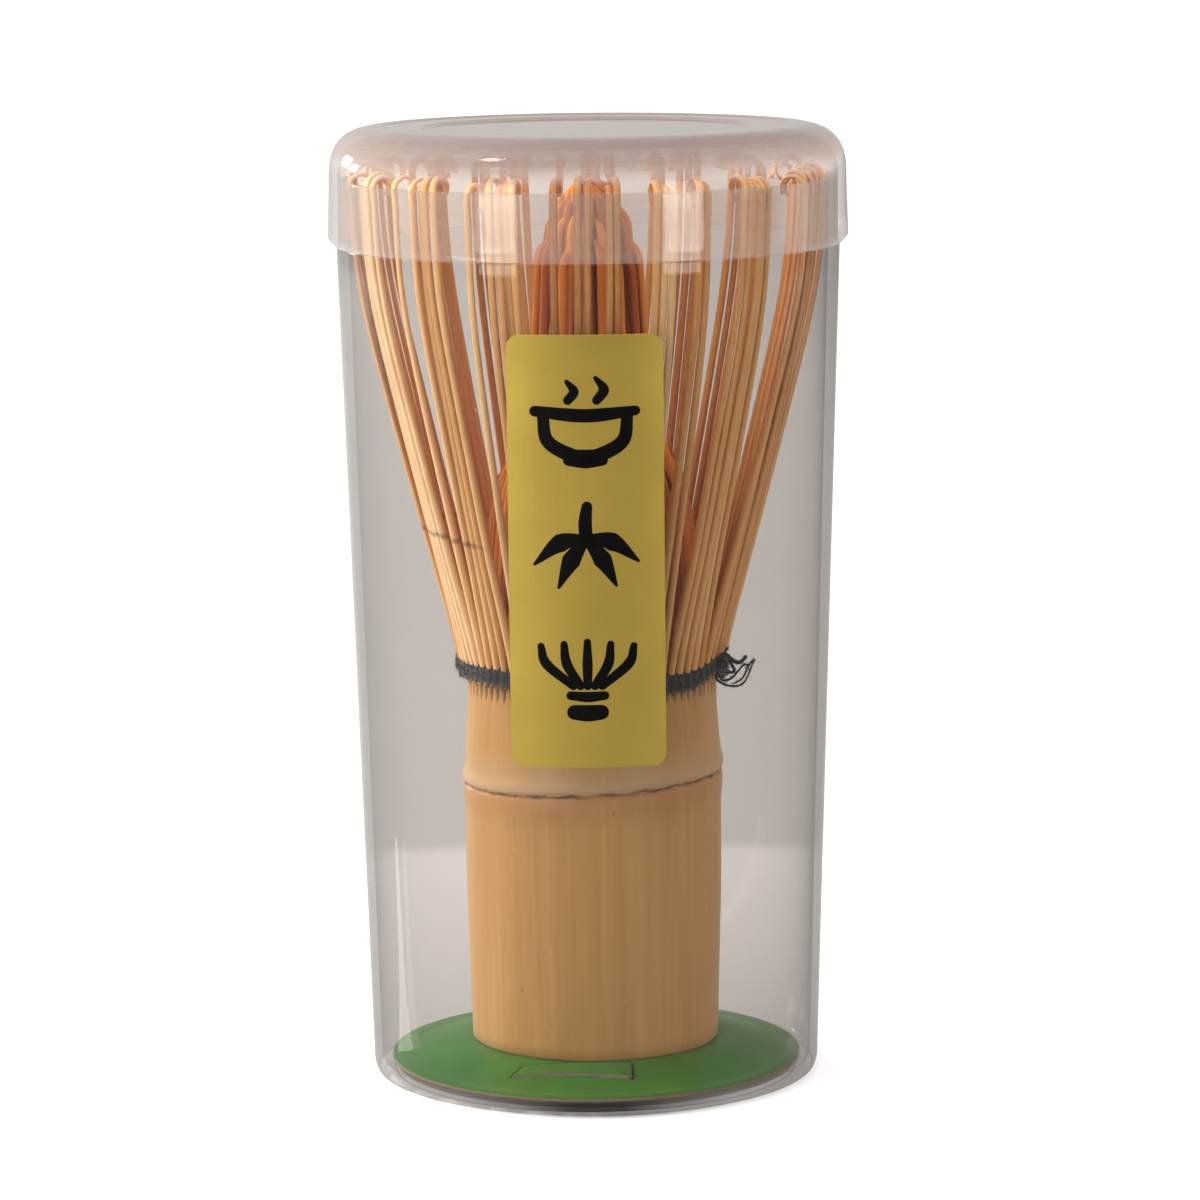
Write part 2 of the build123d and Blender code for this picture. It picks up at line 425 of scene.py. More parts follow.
def clear_plastic(name, tint, neck_tint, edge, right_shade, haze, neck_haze, crown_haze, aslant,
                  haze_colour, crown_colour, roughness, ripple):
    """Thin clear plastic: tinted at each face, darker aslant, with painted shade deeper towards its right
    side, glossy, with a little haze.
    """
    tree = Tree(name)
    grain = tree.noise(tree.stretched(1, 1, ripple[1]), ripple[0], 2.0)
    normal = tree.bump(grain, 0.35, 0.00004)
    facing = tree.add("LayerWeight", {"Blend": 0.5}).outputs["Facing"]
    deep = tree.math("POWER", facing, 3.0)
    dust = tree.cells(tree.place, 150.0)
    dots = tree.span(dust, 0.010, 0.022, 0.35, 0.0)
    scratches = tree.noise(tree.stretched(0.12, 0.12, 1), 2400.0, 3.0)
    cloud = tree.span(scratches, 0.35, 0.65, 0.85, 1.15)
    height = axis_value(tree, "Z")
    fit_z = NECK_Z * MM
    in_neck = tree.span(height, fit_z - 0.0001, fit_z + 0.0001)
    outer = tree.stored("outer")
    tinted = tree.mix(deep, tree.mix(in_neck, tint, neck_tint), edge)
    # painted shade: the plastic is tinted deeper towards its right side, standing for the shade on that
    # side
    right_shade_share = tree.span(axis_value(tree, "X"), -0.012, 0.024)
    tinted = tree.mix(right_shade_share, tinted, tree.mix(1.0, tinted, right_shade, "MULTIPLY"))
    tinted = tree.mix(outer, grey(1), tinted)
    clear = tree.add("BsdfTransparent", {"Color": tinted}).outputs[0]
    share = tree.span(in_neck, 0.0, 1.0, haze, neck_haze)
    longer = tree.math("ADD", tree.math("MULTIPLY", tree.math("POWER", facing, 3.0), aslant), 1.0)
    share = tree.math("MULTIPLY", share, longer)
    share = tree.math("ADD", share, tree.span(height, *CROWN_Z, 0.0, crown_haze))
    share = tree.math("MINIMUM", tree.math("MULTIPLY", share, cloud), 0.9)
    milk_colour = tree.mix(tree.span(height, *CROWN_Z), haze_colour, crown_colour)
    milk = tree.add("BsdfDiffuse", {"Color": milk_colour}).outputs[0]
    glow = tree.add("BsdfTranslucent", {"Color": milk_colour}).outputs[0]
    cloudy = tree.blend_shaders(0.5, milk, glow)
    body = tree.blend_shaders(tree.math("MAXIMUM", dots, share), clear, cloudy)
    shine = tree.add("BsdfGlossy", {"Roughness": roughness, "Normal": normal}).outputs[0]
    mirror = tree.math("MULTIPLY", tree.math("POWER", facing, 5.0), 0.9)
    glossy = tree.blend_shaders(tree.math("ADD", mirror, 0.02), body, shine)
    lamp_side = tree.add("BsdfTransparent", {"Color": grey(0.95)}).outputs[0]
    shadow_ray = tree.add("LightPath").outputs["Is Shadow Ray"]
    return tree.finish(tree.blend_shaders(shadow_ray, glossy, lamp_side))


def gold_foil():
    """Satin gold label stock with a fine grain."""
    tree = Tree("gold_foil")
    grain = tree.noise(tree.place, 5200.0, 2.0)
    cloud = tree.noise(tree.place, 120.0, 3.0)
    colour = tree.ramp(cloud, (0.3, srgb(149, 126, 50)), (0.7, srgb(158, 134, 56)))
    return tree.principled({
        "Base Color": colour,
        "Metallic": 0.68,
        "Roughness": tree.span(grain, 0.3, 0.7, 0.36, 0.46),
        "Normal": tree.bump(grain, 0.25, 0.00002),
    })


def label_edge():
    """Pale cut edge of the label."""
    tree = Tree("label_edge")
    fleck = tree.noise(tree.place, 3000.0)
    colour = tree.ramp(fleck, (0.35, srgb(222, 186, 108)), (0.65, srgb(240, 208, 132)))
    return tree.principled({"Base Color": colour, "Roughness": 0.5})


def print_ink():
    """Black print, a little uneven."""
    tree = Tree("print_ink")
    cloud = tree.noise(tree.place, 900.0, 3.0)
    colour = tree.ramp(cloud, (0.3, srgb(2, 2, 2)), (0.8, srgb(8, 7, 6)))
    return tree.principled({"Base Color": colour, "Roughness": 0.4, "Specular IOR Level": 0.06})


def green_card():
    """Green printed face of the card, with fine pale specks and soft mottling."""
    tree = Tree("green_card")
    mottle = tree.noise(tree.place, 260.0, 4.0, 0.65)
    colour = tree.ramp(
        mottle,
        (0.25, srgb(26, 99, 5)),
        (0.55, srgb(34, 110, 9)),
        (0.8, srgb(46, 119, 18)),
    )
    dots = tree.span(tree.cells(tree.place, 480.0), 0.03, 0.07, 0.4, 0.0)
    colour = tree.mix(dots, colour, srgb(170, 200, 150))
    fibre = tree.noise(tree.place, 2600.0, 3.0)
    return tree.principled({
        "Base Color": colour,
        "Roughness": 0.34,
        "Specular IOR Level": 0.7,
        "Sheen Weight": 0.08,
        "Sheen Roughness": 0.35,
        "Normal": tree.bump(fibre, 0.02, 0.00003),
    })


def card_core():
    """Grey-brown cut edge of the card."""
    tree = Tree("card_core")
    layers = tree.noise(tree.stretched(1, 1, 12), 1800.0, 3.0)
    colour = tree.ramp(layers, (0.3, srgb(112, 98, 80)), (0.7, srgb(150, 134, 112)))
    return tree.principled({"Base Color": colour, "Roughness": 0.85})


def bamboo_skin():
    """Outer skin of the culm: long fibres, a pale bloom above the node, small scars, and painted shade in
    the slits between the tines.
    """
    tree = Tree("bamboo_skin")
    fibres = tree.noise(tree.stretched(1, 1, 0.015), 1700.0, 2.0, 0.5)
    broad = tree.noise(tree.stretched(1, 1, 0.06), 210.0, 3.0)
    fine = tree.ramp(
        fibres,
        (0.25, srgb(192, 145, 85)),
        (0.5, srgb(198, 152, 91)),
        (0.75, srgb(203, 158, 97)),
    )
    tone = tree.ramp(broad, (0.3, srgb(226, 214, 196)), (0.7, srgb(255, 252, 246)))
    colour = tree.mix(0.75, fine, tone, "MULTIPLY")
    height = axis_value(tree, "Z")
    slope = tree.math("MULTIPLY", axis_value(tree, "X"), NODE_TILT / HANDLE_R)
    line = tree.math("SUBTRACT", tree.math("SUBTRACT", height, NODE_Z * MM), slope)
    ragged = tree.span(tree.noise(tree.place, 700.0, 3.0), 0.3, 0.7, -0.16 * MM, 0.16 * MM)
    line = tree.math("ADD", line, ragged)
    bloom = tree.ramp(
        tree.span(line, -4 * MM, 6 * MM),
        (0.0, grey(0)),
        (0.40, grey(0)),
        (0.44, grey(0.75)),
        (0.60, grey(0.35)),
        (0.95, grey(0)),
    )
    colour = tree.mix(bloom, colour, srgb(196, 168, 134))
    ruddy = tree.ramp(
        tree.span(line, -4 * MM, 0.0),
        (0.0, grey(0)),
        (0.75, grey(0.35)),
        (1.0, grey(0.55)),
    )
    above = tree.math("GREATER_THAN", 0.0, line)
    ruddy = tree.math("MULTIPLY", ruddy, above)
    colour = tree.mix(ruddy, colour, srgb(176, 122, 78))
    scar = tree.ramp(
        tree.span(tree.math("ABSOLUTE", line), 0.0, 0.28 * MM),
        (0.0, grey(1)),
        (0.45, grey(0.8)),
        (1.0, grey(0)),
    )
    broken = tree.span(tree.noise(tree.place, 420.0, 4.0), 0.38, 0.62, 0.25, 1.0)
    colour = tree.mix(tree.math("MULTIPLY", scar, broken), colour, srgb(44, 34, 28))
    pits = tree.cells(tree.place, 230.0)
    colour = tree.mix(tree.span(pits, 0.02, 0.045, 0.7, 0.0), colour, srgb(84, 58, 38))
    pale = tree.cells(tree.stretched(1, 1, 0.7), 410.0)
    colour = tree.mix(tree.span(pale, 0.03, 0.06, 0.5, 0.0), colour, srgb(228, 200, 156))
    # painted shade: the slits between the tines are coloured nearly black
    slit = tree.stored("slit")
    colour = tree.mix(slit, colour, srgb(30, 20, 14))
    return tree.principled({
        "Base Color": colour,
        "Roughness": tree.span(fibres, 0.3, 0.7, 0.36, 0.46),
        "Specular IOR Level": 0.45,
        "Sheen Weight": 0.22,
        "Sheen Roughness": 0.4,
        "Sheen Tint": (1.0, 0.93, 0.84, 1),
        "Normal": tree.bump(fibres, 0.05, 0.00005),
    })


def bamboo_cut():
    """Cut bamboo inside the culm and on its end: pale, with dark vascular dots."""
    tree = Tree("bamboo_cut")
    dots = tree.cells(tree.stretched(1, 1, 0.02), 1500.0)
    colour = tree.ramp(dots, (0.1, srgb(150, 106, 62)), (0.45, srgb(214, 178, 126)))
    return tree.principled({"Base Color": colour, "Roughness": 0.7})


def tine_bamboo(name, deep, low, middle, high, roughness):
    """Split bamboo: each tine has its own tone, with streaks along it."""
    tree = Tree(name)
    tone = tree.stored("tone")
    streaks = tree.noise(tree.stretched(1, 1, 0.03), 3400.0, 3.0, 0.6)
    spread = tree.math("ADD", tree.math("MULTIPLY", tone, 0.7), tree.math("MULTIPLY", streaks, 0.3))
    colour = tree.ramp(spread, (0.06, deep), (0.3, low), (0.56, middle), (0.85, high))
    smudge = tree.noise(tree.stretched(1, 1, 0.25), 420.0, 4.0, 0.6)
    darker = tree.span(smudge, 0.5, 0.75, 0.0, 0.45)
    colour = tree.mix(darker, colour, low)
    slope = tree.math("MULTIPLY", axis_value(tree, "X"), 0.12)
    wander = tree.span(tree.noise(tree.place, 350.0), 0.3, 0.7, -0.3 * MM, 0.3 * MM)
    from_scar = tree.math("ADD", tree.math("ADD", axis_value(tree, "Z"), slope), wander)
    from_scar = tree.math("ABSOLUTE", tree.math("SUBTRACT", from_scar, SCAR_Z * MM))
    scar = tree.span(from_scar, 0.1 * MM, 0.45 * MM, 0.6, 0.0)
    scar = tree.math("MULTIPLY", scar, tree.span(axis_value(tree, "X"), -0.0135, -0.0115, 1.0, 0.0))
    colour = tree.mix(scar, colour, srgb(92, 62, 44))
    return tree.principled({
        "Base Color": colour,
        "Roughness": tree.span(streaks, 0.3, 0.7, roughness, roughness + 0.14),
        "Specular IOR Level": 0.4,
        "Normal": tree.bump(streaks, 0.3, 0.00004),
    })


def black_thread():
    """Black cotton, with the soft sheen that its loose fibres give."""
    tree = Tree("black_thread")
    tone = tree.stored("tone")
    fuzz = tree.noise(tree.place, 4200.0, 3.0, 0.7)
    spread = tree.math("MULTIPLY", tree.math("ADD", tone, fuzz), 0.5)
    colour = tree.ramp(spread, (0.25, srgb(10, 12, 15)), (0.75, srgb(38, 41, 46)))
    return tree.principled({
        "Base Color": colour,
        "Roughness": 0.95,
        "Sheen Weight": 0.35,
        "Sheen Roughness": 0.5,
        "Normal": tree.bump(fuzz, 0.6, 0.00008),
    })


def foot_glints(tree, reach):
    """Painted light gathered by the foot of the case: a broken bright ring on the floor, strongest at the
    left.
    """
    off_ring = tree.math("ABSOLUTE", tree.math("SUBTRACT", reach, (FOOT_R - 0.9) * MM))
    ring = tree.span(off_ring, 0.25 * MM, 1.0 * MM, 1.0, 0.0)
    broken = tree.span(tree.noise(tree.stretched(1.4, 0.5, 1), 260.0, 3.0), 0.46, 0.66, 0.15, 1.0)
    left = tree.span(axis_value(tree, "X"), -0.022, 0.004, 1.5, 0.12)
    return tree.math("MULTIPLY", tree.math("MULTIPLY", ring, broken), left)


def pale_floor():
    """Pale studio floor that glows though it is no lamp, with painted light and painted shade: a brighter
    disc round the object that darkens towards its foot, and a painted shadow where it stands.
    """
    tree = Tree("pale_floor")
    cloud = tree.noise(tree.place, 3.0)
    colour = tree.ramp(cloud, (0.3, (0.245, 0.245, 0.24, 1)), (0.7, (0.255, 0.255, 0.25, 1)))
    reach = tree.add("VectorMath", {0: tree.place}, operation="LENGTH").outputs["Value"]
    # painted light and shade: within a disc round the object the camera sees a brighter glow, which fades
    # darker towards the object
    near = tree.span(reach, 0.03, 0.11, 0.74, 1.02)
    edge = tree.span(reach, FLOOR_BRIGHT_R - 0.004, FLOOR_BRIGHT_R + 0.004, 1.0, 0.0)
    glow = tree.mix(edge, tree.span(reach, 0.4, 2.0, 0.66, 1.0), near, kind="FLOAT")
    # painted shadow under the case, darkest in front of it and lighter to the sides; the foot's painted
    # glints are added to it
    shadow = tree.add("VectorMath", {0: tree.place, 1: (-0.001, 0.002, 0)}, operation="ADD")
    under = tree.add("VectorMath", {0: shadow.outputs[0]}, operation="LENGTH").outputs["Value"]
    off_centre = tree.math("ABSOLUTE", axis_value(tree, "X"))
    depth = tree.span(off_centre, 0.003, 0.016, 0.05, 0.62)
    spread = tree.span(under, (FOOT_R - 2.6) * MM, (FOOT_R - 0.4) * MM)
    painted_shadow = tree.math("ADD", depth, tree.math("MULTIPLY", spread, tree.math("SUBTRACT", 1.0, depth)))
    painted_shadow = tree.math("ADD", painted_shadow, foot_glints(tree, reach))
    # painted light: to every ray but the camera's, the floor glows brighter at the left than at the right
    sideways = tree.span(axis_value(tree, "X"), -0.09, 0.09, 0.62, 0.16)
    seen = tree.add("LightPath").outputs["Is Camera Ray"]
    lamp = tree.mix(seen, sideways, glow, kind="FLOAT")
    return tree.principled({
        "Base Color": tree.mix(painted_shadow, (0.05, 0.045, 0.055, 1), colour),
        "Roughness": 0.9,
        "Specular IOR Level": 0.0,
        "Emission Color": grey(1),
        "Emission Strength": tree.math("MULTIPLY", lamp, painted_shadow),
    })


CASE_PLASTIC = clear_plastic(
    "case_plastic",
    tint=(0.678, 0.650, 0.630, 1),
    neck_tint=(0.79, 0.765, 0.745, 1),
    edge=(0.45, 0.425, 0.42, 1),
    # painted shade: deeper tint on the case's right side
    right_shade=(0.935, 0.93, 0.935, 1),
    haze=0.002,
    neck_haze=0.10,
    crown_haze=0.0,
    aslant=3.0,
    haze_colour=srgb(232, 222, 216),
    crown_colour=srgb(232, 222, 216),
    roughness=0.04,
    ripple=(30.0, 9),
)
LID_PLASTIC = clear_plastic(
    "lid_plastic",
    tint=(0.93, 0.905, 0.885, 1),
    neck_tint=(0.93, 0.905, 0.885, 1),
    edge=(0.80, 0.76, 0.75, 1),
    # painted shade: deeper tint on the lid's right side
    right_shade=(0.96, 0.95, 0.95, 1),
    haze=0.03,
    neck_haze=0.03,
    crown_haze=0.66,
    aslant=6.0,
    haze_colour=srgb(196, 188, 186),
    crown_colour=srgb(158, 144, 140),
    roughness=0.08,
    ripple=(70.0, 5),
)
GOLD = gold_foil()
GOLD_EDGE = label_edge()
INK = print_ink()
GREEN = green_card()
CORE = card_core()
SKIN = bamboo_skin()
CUT = bamboo_cut()
TINE = tine_bamboo(
    "tine_bamboo",
    deep=srgb(158, 84, 16),
    low=srgb(206, 146, 82),
    middle=srgb(232, 178, 112),
    high=srgb(244, 208, 162),
    roughness=0.34,
)
INNER = tine_bamboo(
    "inner_bamboo",
    deep=srgb(164, 80, 4),
    low=srgb(190, 102, 8),
    middle=srgb(222, 134, 24),
    high=srgb(240, 164, 56),
    roughness=0.5,
)
THREAD = black_thread()


# ---- clear case and lid -------------------------------------------------------------
def mark_outer(piece):
    """Give each point of a shell 1 on its outer side and 0 on its inner side."""
    outer = piece.data.attributes.new("outer", "FLOAT", "POINT")
    for index, vert in enumerate(piece.data.vertices):
        outward = vert.normal.x * vert.co.x + vert.normal.y * vert.co.y
        reach = math.hypot(vert.co.x, vert.co.y)
        along_axis = vert.normal.z if vert.co.z > RIM_Z * MM else -vert.normal.z
        outer.data[index].value = 1.0 if outward > 0.3 * reach or along_axis > 0.7 else 0.0


def build_case():
    """Thin tapered shell with a foot ring and a stepped neck."""
    neck_r = CASE_TOP_R - NECK_STEP
    corners = [
        (0, FLOOR_UNDER_Z, 0),
        (FOOT_INNER_R, FLOOR_UNDER_Z, 0.2),
        (FOOT_INNER_R + 0.1, 0, 0.15),
        (FOOT_R, 0, 0.35),
        (case_r(1.0), 1.0, 0.45),
        (CASE_TOP_R, NECK_Z, 0.12),
        (neck_r, NECK_Z, 0.1),
        (neck_r, RIM_Z, 0.25),
        (neck_r - CASE_WALL, RIM_Z, 0.25),
        (neck_r - CASE_WALL, NECK_Z, 0.4),
        (case_r(FLOOR_TOP_Z) - CASE_WALL, FLOOR_TOP_Z, 0.6),
        (0, FLOOR_TOP_Z, 0),
    ]
    outline = round_corners(corners, 5)
    case = lathe("case_clear_shell", subdivide_outline(outline, 4.0), ROUND_STEPS, CASE_PLASTIC)
    mark_outer(case)
    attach(case, "case")
    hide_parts("case_shell")


def build_lid():
    """Milky lid with a round shoulder, a shallow panel and a bead round its skirt."""
    inner_r = CASE_TOP_R - NECK_STEP + 0.25
    ceiling = LID_TOP_Z - LID_PANEL_DEPTH - LID_WALL
    corners = [
        (inner_r, NECK_Z, 0.1),
        (LID_R - 0.9, NECK_Z, 0.15),
        (LID_R, NECK_Z + 0.9, 0.3),
        (LID_R - 0.2, LID_TOP_Z - LID_SHOULDER - 0.8, 0.6),
        (LID_R - 0.2, LID_TOP_Z, LID_SHOULDER),
        (LID_PANEL_R + 4.7, LID_TOP_Z, 0.15),
        (LID_PANEL_R + 4.4, LID_TOP_Z - 0.12, 0.1),
        (LID_PANEL_R, LID_TOP_Z - 0.12, 0.3),
        (LID_PANEL_R - 0.5, LID_TOP_Z - LID_PANEL_DEPTH, 0.3),
        (0, LID_TOP_Z - LID_PANEL_DEPTH, 0),
        (0, ceiling, 0),
        (inner_r, ceiling, 4.4),
    ]
    outline = round_corners(corners, 8)
    lid = lathe("case_milky_lid", subdivide_outline(outline, 2.5), ROUND_STEPS, LID_PLASTIC)
    mark_outer(lid)
    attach(lid, "lid")
    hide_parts("case_lid")


# ---- label --------------------------------------------------------------------------
LABEL_WIDTH = LABEL_HIGH.x - LABEL_LOW.x
LABEL_HEIGHT = LABEL_HIGH.z - LABEL_LOW.z
LABEL_THICK = 0.15
LABEL_CORNER = 1.5
LABEL_STRIP = 0.6                   # width of the strips that bend round the case
LABEL_TURN = math.radians(-1.0)
LABEL_MIDDLE_Z = (LABEL_HIGH.z + LABEL_LOW.z) / 2


def on_case(across, up, lift):
    """A point on the front of the case, across and up in millimetres from the label's centre."""
    z = LABEL_MIDDLE_Z + up
    r = case_r(z)
    angle = -math.pi / 2 + LABEL_TURN + across / r
    return ((r + lift) * math.cos(angle), (r + lift) * math.sin(angle), z)


def rounded_rectangle(width, height, corner, steps):
    """Points round a rectangle with round corners, counter-clockwise."""
    outline = []
    for quarter in range(4):
        turn = quarter * math.pi / 2
        side_x = 1 if quarter in (0, 3) else -1
        side_y = 1 if quarter in (0, 1) else -1
        centre = (side_x * (width / 2 - corner), side_y * (height / 2 - corner))
        for step in range(steps + 1):
            angle = turn + step / steps * math.pi / 2
            outline.append((centre[0] + corner * math.cos(angle), centre[1] + corner * math.sin(angle)))
    return outline


def fill_flat(outline):
    """Triangulate a flat outline and cut it finely enough to bend round the case."""
    mesh = bmesh.new()
    corners = [mesh.verts.new((x, y, 0)) for x, y in outline]
    for index, corner in enumerate(corners):
        mesh.edges.new((corners[index - 1], corner))
    bmesh.ops.triangle_fill(mesh, use_beauty=True, edges=mesh.edges[:])
    low = min(x for x, _ in outline)
    high = max(x for x, _ in outline)
    cut = low + LABEL_STRIP
    while cut < high:
        bmesh.ops.bisect_plane(
            mesh,
            geom=mesh.verts[:] + mesh.edges[:] + mesh.faces[:],
            plane_co=(cut, 0, 0),
            plane_no=(1, 0, 0),
        )
        cut += LABEL_STRIP
    return mesh


def wrapped_sheet(name, outlines, lift, thick, materials):
    """Flat shapes wrapped on the case as one thin solid."""
    whole = bmesh.new()
    for outline in outlines:
        flat = fill_flat(outline)
        boundary = [edge for edge in flat.edges if edge.is_boundary]
        lower = {v: whole.verts.new(on_case(v.co.x, v.co.y, lift)) for v in flat.verts}
        upper = {v: whole.verts.new(on_case(v.co.x, v.co.y, lift + thick)) for v in flat.verts}
        for face in flat.faces:
            whole.faces.new([upper[v] for v in face.verts])
            whole.faces.new([lower[v] for v in reversed(face.verts)])
        for edge in boundary:
            a, b = edge.verts
            side = whole.faces.new([lower[a], lower[b], upper[b], upper[a]])
            side.material_index = len(materials) - 1
        flat.free()
    bmesh.ops.recalc_face_normals(whole, faces=whole.faces)
    for vert in whole.verts:
        vert.co *= MM
    data = bpy.data.meshes.new(name)
    whole.to_mesh(data)
    whole.free()
    piece = add_object(name, data)
    for material in materials:
        data.materials.append(material)
    return piece


def brush_stroke(route, widths):
    """Outline of one brush stroke: a smooth line with a width at each control point."""
    path = smooth_path([(x, y, 0) for x, y in route], 10)
    left = []
    right = []
    for index, point in enumerate(path):
        ahead = path[min(index + 1, len(path) - 1)]
        behind = path[max(index - 1, 0)]
        along = (ahead - behind).normalized()
        across = Vector((-along.y, along.x, 0))
        place = index / (len(path) - 1) * (len(widths) - 1)
        low = min(int(place), len(widths) - 2)
        half = lerp(widths[low], widths[low + 1], place - low) / 2
        left.append(point + across * half)
        right.append(point - across * half)
    start = []
    end = []
    for step in range(1, 6):
        angle = step / 6 * math.pi
        first = (path[0] - path[1]).normalized()
        last = (path[-1] - path[-2]).normalized()
        side = Vector((-first.y, first.x, 0))
        start.append(path[0] + (first * math.sin(angle) + side * math.cos(angle)) * widths[0] / 2)
        side = Vector((-last.y, last.x, 0))
        end.append(path[-1] + (last * math.sin(angle) + side * math.cos(angle)) * widths[-1] / 2)
    return [(p.x, p.y) for p in [*left, *end, *reversed(right), *start]]


def bowl_side(way, up):
    """One side of the bowl, from its lip to its foot."""
    route = [(4.7 * way, up + 0.6), (4.2 * way, up - 2.4), (1.6 * way, up - 4.0), (0, up - 4.2)]
    return brush_stroke(route, [1.3, 1.5, 1.6, 1.6])


def bowl_mark(up):
    """A tea bowl with rising steam."""
    return [
        bowl_side(-1, up),
        bowl_side(1, up),
        brush_stroke([(-5.6, up + 0.9), (0, up + 0.4), (5.6, up + 0.9)], [1.2, 1.5, 1.5, 1.1]),
        brush_stroke([(-1.9, up - 4.6), (0, up - 4.8), (1.9, up - 4.6)], [1.2, 1.4, 1.2]),
        brush_stroke([(-1.9, up + 2.1), (-1.2, up + 3.1), (-2.0, up + 4.2)], [1.0, 1.1, 0.5]),
        brush_stroke([(1.3, up + 2.1), (2.1, up + 3.3), (1.2, up + 4.6)], [1.0, 1.2, 0.5]),
    ]


def leaf_mark(up):
    """Bamboo leaves on a short stem."""
    leaves = [
        [(0, 1.0), (-2.9, 0.5), (-5.8, -1.9)],
        [(0, 1.0), (2.9, 0.6), (5.8, -1.6)],
        [(0, 1.0), (-1.7, -1.5), (-3.1, -4.5)],
        [(0, 1.0), (1.8, -1.4), (3.3, -4.3)],
    ]
    strokes = [brush_stroke([(0.1, up + 4.6), (-0.1, up + 2.8), (0, up + 0.9)], [1.2, 1.5, 1.5])]
    for leaf in leaves:
        route = [(x, up + y) for x, y in leaf]
        strokes.append(brush_stroke(route, [0.9, 2.1, 0.35]))
    return strokes


def whisk_mark(up):
    """A whisk seen from the side."""
    strokes = [
        brush_stroke([(-1.5, up - 4.1), (0, up - 4.2), (1.5, up - 4.1)], [1.7, 1.9, 1.7]),
        brush_stroke([(-1.9, up - 2.2), (0, up - 2.35), (1.9, up - 2.2)], [1.0, 1.2, 1.0]),
    ]
    for lean in (-1.0, -0.5, 0.0, 0.5, 1.0):
        route = [
            (lean * 1.6, up - 1.1),
            (lean * 4.6, up + 1.4),
            (lean * 5.2, up + 3.9 - abs(lean) * 0.5),
        ]
        strokes.append(brush_stroke(route, [0.95, 1.15, 0.8]))
    return strokes


def build_label():
    """Gold label with three brush marks of no meaning in any script."""
    outline = rounded_rectangle(LABEL_WIDTH, LABEL_HEIGHT, LABEL_CORNER, 8)
    label = wrapped_sheet("gold_label", [outline], 0.0, LABEL_THICK, [GOLD, GOLD_EDGE])
    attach(label, "case")
    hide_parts("case_label")
    strokes = bowl_mark(15.0) + leaf_mark(0.6) + whisk_mark(-14.0)
    marks = wrapped_sheet("label_brush_marks", strokes, LABEL_THICK - 0.02, 0.045, [INK])
    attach(marks, "case")


# ---- card ---------------------------------------------------------------------------
CARD_R = CARD_HIGH.x
CARD_THICK = 0.45
CARD_FLAT_R = 22.6
CARD_CROWN_R = 15.2
TAB = ((-8.3, -14.7), (-9.7, -16.9), (4.1, -18.6), (4.1, -14.7))
TAB_SLIT = 0.22


def prism(name, outline, low, high, material):
    """Upright prism over a flat outline."""
    count = len(outline)
    points = [(x, y, low) for x, y in outline] + [(x, y, high) for x, y in outline]
    faces = [list(range(count))[::-1], list(range(count, 2 * count))]
    for index in range(count):
        after = (index + 1) % count
        faces.append([index, after, count + after, count + index])
    piece = mesh_piece(name, points, faces, material, shade=False)
    face_outward(piece)
    return piece


def carve(piece, tool, operation):
    """Apply a boolean with a tool that is then removed."""
    carved = piece.modifiers.new("carve", "BOOLEAN")
    carved.operation = operation
    carved.object = tool
    carved.solver = "EXACT"
    bpy.context.view_layer.update()
    graph = bpy.context.evaluated_depsgraph_get()
    result = bpy.data.meshes.new_from_object(piece.evaluated_get(graph))
    piece.modifiers.clear()
    piece.data = result
    bpy.data.objects.remove(tool)


def card_disc(name):
    """The bowed disc, without its tab cut out."""
    crown = CARD_HIGH.z
    rim = CARD_LOW.z + CARD_THICK
    upper = []
    for step in range(13):
        t = step / 12
        upper.append((lerp(CARD_CROWN_R, CARD_FLAT_R, t), lerp(crown, rim, smooth(t) * 0.4 + t * 0.6)))
    outline = [(0, crown), *upper, (CARD_R - 0.06, rim), (CARD_R, rim - 0.06)]
    outline += [(CARD_R, CARD_LOW.z + 0.06), (CARD_R - 0.06, CARD_LOW.z)]
    outline += [(r, z - CARD_THICK) for r, z in reversed(upper)] + [(0, crown - CARD_THICK)]
    disc = lathe(name, outline, 160, GREEN)
    disc.data.materials.append(CORE)
    return disc


def paint_card(piece):
    """Green on the upper face, core on the cut edges and below."""
    for face in piece.data.polygons:
        face.material_index = 0 if face.normal.z > 0.6 else 1
        face.use_smooth = abs(face.normal.z) > 0.6


def build_card():
    """Card disc with its die-cut tab, whose front edge has sprung up a little."""
    disc = card_disc("green_card_disc")
    hole = [
        (TAB[0][0] - TAB_SLIT, TAB[0][1]),
        (TAB[1][0] - TAB_SLIT, TAB[1][1] - TAB_SLIT),
        (TAB[2][0] + TAB_SLIT, TAB[2][1] - TAB_SLIT),
        (TAB[3][0] + TAB_SLIT, TAB[3][1]),
    ]
    carve(disc, prism("cutter", hole, -1.0, 6.0, CORE), "DIFFERENCE")
    paint_card(disc)
    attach(disc, "card")
    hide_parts("base_card")
    tab = card_disc("green_card_tab")
    keep = [TAB[0], TAB[1], (TAB[2][0] - 0.5, TAB[2][1]), (TAB[2][0], TAB[2][1] + 0.5), TAB[3]]
    carve(tab, prism("cutter", keep, -1.0, 6.0, CORE), "INTERSECT")
    hinge = Vector((0, TAB[0][1], CARD_HIGH.z)) * MM
    turn = Matrix.Rotation(math.radians(-5.0), 4, "X")
    tab.data.transform(Matrix.Translation(hinge) @ turn @ Matrix.Translation(-hinge))
    paint_card(tab)
    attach(tab, "card")


# ---- handle -------------------------------------------------------------------------
SLIT_LOW_Z = THREAD_LOW.z - 2.0


def handle_surface_r(z):
    """Radius of the culm's skin, which swells at its node and narrows to the thread."""
    bottom = lerp(HANDLE_FOOT_R, HANDLE_R, smooth((z - HANDLE_FOOT_Z) / 22))
    waist = -0.45 * smooth((z - NODE_Z - 1.5) / 8)
    return bottom + waist


